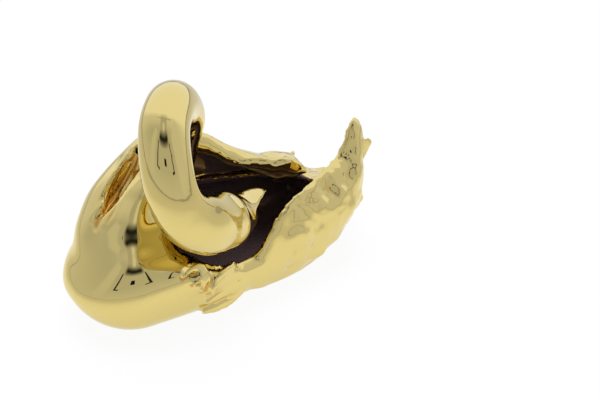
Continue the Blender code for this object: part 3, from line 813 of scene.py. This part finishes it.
# The walls face this line along the middle of the hollow
heart_x = np.clip(x, -22.0, 64.0)
heart = np.column_stack((heart_x, np.zeros(len(x)), 25.0 + 0.12 * (heart_x + 20.0)))
inward = (normals * unit(heart - points)).sum(axis=1)
rim_height = np.where(y > RIM_PARTING, np.interp(x, *RIGHT_RIM.T), np.interp(x, *LEFT_RIM.T))
inside = ((points > HOLLOW_LOW) & (points < HOLLOW_HIGH)).all(axis=1) & (z < rim_height)
inside &= (inward > 0.1) & (neck_gap > 1.5) & (groove_gap > 11.0)
inside = inside.astype(np.float64)[:, None]
BLUR_ROUNDS = 8
for round_number in range(BLUR_ROUNDS):
    inside = neighbour_mean(inside)
mask = swan.data.attributes.new("inside", "FLOAT", "POINT")
mask.data.foreach_set("value", inside[:, 0])
# A crease is how far the surface lies under the mean of its neighbours
CREASE_ROUNDS = 6
spread = points
for round_number in range(CREASE_ROUNDS):
    spread = neighbour_mean(spread)
# Painted reflection: the crease depth, raised in the groove and on the small leaves, sets where amber
# is painted in
PAINTED_GROOVE_AMBER = 0.4
PAINTED_LEAF_AMBER = 6.0
crease = ((spread - points) * normals).sum(axis=1) + PAINTED_GROOVE_AMBER * in_groove
crease *= 1.0 + PAINTED_LEAF_AMBER * region(
    points, (X, -22.0, -26.0), (X, -44.0, -40.0), (Y, -31.0, -34.0), (Z, 22.0, 26.0), (Z, 44.0, 40.0))
mask = swan.data.attributes.new("crease", "FLOAT", "POINT")
mask.data.foreach_set("value", np.clip(crease, -1.0, 1.0))

# Finish
# Brass plated gold and polished to a mirror: pale gold in one reflection, amber where it mirrors
# itself, and that amber is painted into the creases as a painted reflection. The hollow stayed
# unplated, a nearly black brown with a dull shine
PLATING = "#dfcb81"
PAINTED_CREASE_AMBER = "#c28a2a"
PLATING_EDGE = "#a8741f"
BARE_CASTING = "#62504f"
# Features to a metre: ragged teeth some 3 mm, polishing waves 9 mm, casting grain 1.4 mm
TEETH_SCALE = 330.0
WHEEL_SCALE = 110.0
GRAIN_SCALE = 700.0
RELIEF_DEPTH = 0.0003
RAGGEDNESS = 0.6
POLISH = 0.035
DULLNESS = 0.24
BARE_SHINE = 0.25
PAINTED_AMBER_SHARE = 0.7
WHEEL_SHARE = 0.3
gold = bpy.data.materials.new("polished_gold_casting")
gold.use_nodes = True
gold_tree = gold.node_tree
gold_shader = gold_tree.nodes["Principled BSDF"]
place = add_node(gold_tree, "ShaderNodeTexCoord").outputs["Object"]
bare = add_node(gold_tree, "ShaderNodeAttribute", {"attribute_name": "inside"}).outputs["Fac"]
crease_depth = add_node(gold_tree, "ShaderNodeAttribute", {"attribute_name": "crease"}).outputs["Fac"]
# The edge of the plating is ragged
teeth = add_node(gold_tree, "ShaderNodeTexNoise", inputs={
    "Vector": place, "Scale": TEETH_SCALE, "Detail": 3.0}).outputs["Fac"]
ragged = add_node(gold_tree, "ShaderNodeMath", {"operation": "MULTIPLY_ADD"}, {
    0: teeth, 1: RAGGEDNESS, 2: bare}).outputs[0]
# Painted reflection: amber painted into the creases, where the gold mirrors itself
painted_amber = add_node(gold_tree, "ShaderNodeMapRange", inputs={
    0: crease_depth, 1: 0.16, 2: 0.6, 3: 0.0, 4: PAINTED_AMBER_SHARE}).outputs[0]
plating_and_reflection = add_node(gold_tree, "ShaderNodeMix", {"data_type": "RGBA"}, {
    0: painted_amber, 6: linear(PLATING), 7: linear(PAINTED_CREASE_AMBER)}).outputs[2]
edge = add_node(gold_tree, "ShaderNodeMapRange", inputs={0: ragged, 1: 0.86, 2: 0.94}).outputs[0]
plating_and_reflection = add_node(gold_tree, "ShaderNodeMix", {"data_type": "RGBA"}, {
    0: edge, 6: plating_and_reflection, 7: linear(PLATING_EDGE)}).outputs[2]
burnt = add_node(gold_tree, "ShaderNodeMapRange", inputs={0: ragged, 1: 0.98, 2: 1.05}).outputs[0]
colour = add_node(gold_tree, "ShaderNodeMix", {"data_type": "RGBA"}, {
    0: burnt, 6: plating_and_reflection, 7: linear(BARE_CASTING)}).outputs[2]
metal = add_node(gold_tree, "ShaderNodeMapRange", inputs={
    0: burnt, 1: 0.0, 2: 1.0, 3: 1.0, 4: BARE_SHINE}).outputs[0]
dull = add_node(gold_tree, "ShaderNodeMapRange", inputs={
    0: burnt, 1: 0.0, 2: 1.0, 3: POLISH, 4: DULLNESS}).outputs[0]
gold_tree.links.new(metal, gold_shader.inputs["Metallic"])
gold_tree.links.new(colour, gold_shader.inputs["Base Color"])
gold_tree.links.new(dull, gold_shader.inputs["Roughness"])
# Faint unevenness left by the polishing wheel, and grain in the hollow
wheel = add_node(gold_tree, "ShaderNodeTexNoise", inputs={
    "Vector": place, "Scale": WHEEL_SCALE, "Detail": 1.0}).outputs["Fac"]
grain = add_node(gold_tree, "ShaderNodeTexNoise", inputs={
    "Vector": place, "Scale": GRAIN_SCALE, "Detail": 3.0}).outputs["Fac"]
grain = add_node(gold_tree, "ShaderNodeMath", {"operation": "MULTIPLY"}, {
    0: grain, 1: burnt}).outputs[0]
relief = add_node(gold_tree, "ShaderNodeMath", {"operation": "MULTIPLY_ADD"}, {
    0: wheel, 1: WHEEL_SHARE, 2: grain}).outputs[0]
relief = add_node(gold_tree, "ShaderNodeBump", inputs={
    "Height": relief, "Strength": 0.5, "Distance": RELIEF_DEPTH}).outputs[0]
gold_tree.links.new(relief, gold_shader.inputs["Normal"])
swan.data.materials.clear()
swan.data.materials.append(gold)

# The hollow and the sole need fewer faces than the mirror outside
FACE_LIMIT = 196000.0
quiet = swan.vertex_groups.new(name="quiet")
calm = (inside[:, 0] > 0.99) | (z < 0.3)
quiet.add(np.flatnonzero(calm).tolist(), 1.0, "REPLACE")
triangles = 2.0 * len(swan.data.polygons)
if triangles > FACE_LIMIT:
    step = swan.modifiers.new("thin_out", "DECIMATE")
    step.ratio = FACE_LIMIT / triangles
    step.vertex_group = quiet.name
    settle(swan)
swan.vertex_groups.clear()

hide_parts("swan_figurine")
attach(swan, "root")
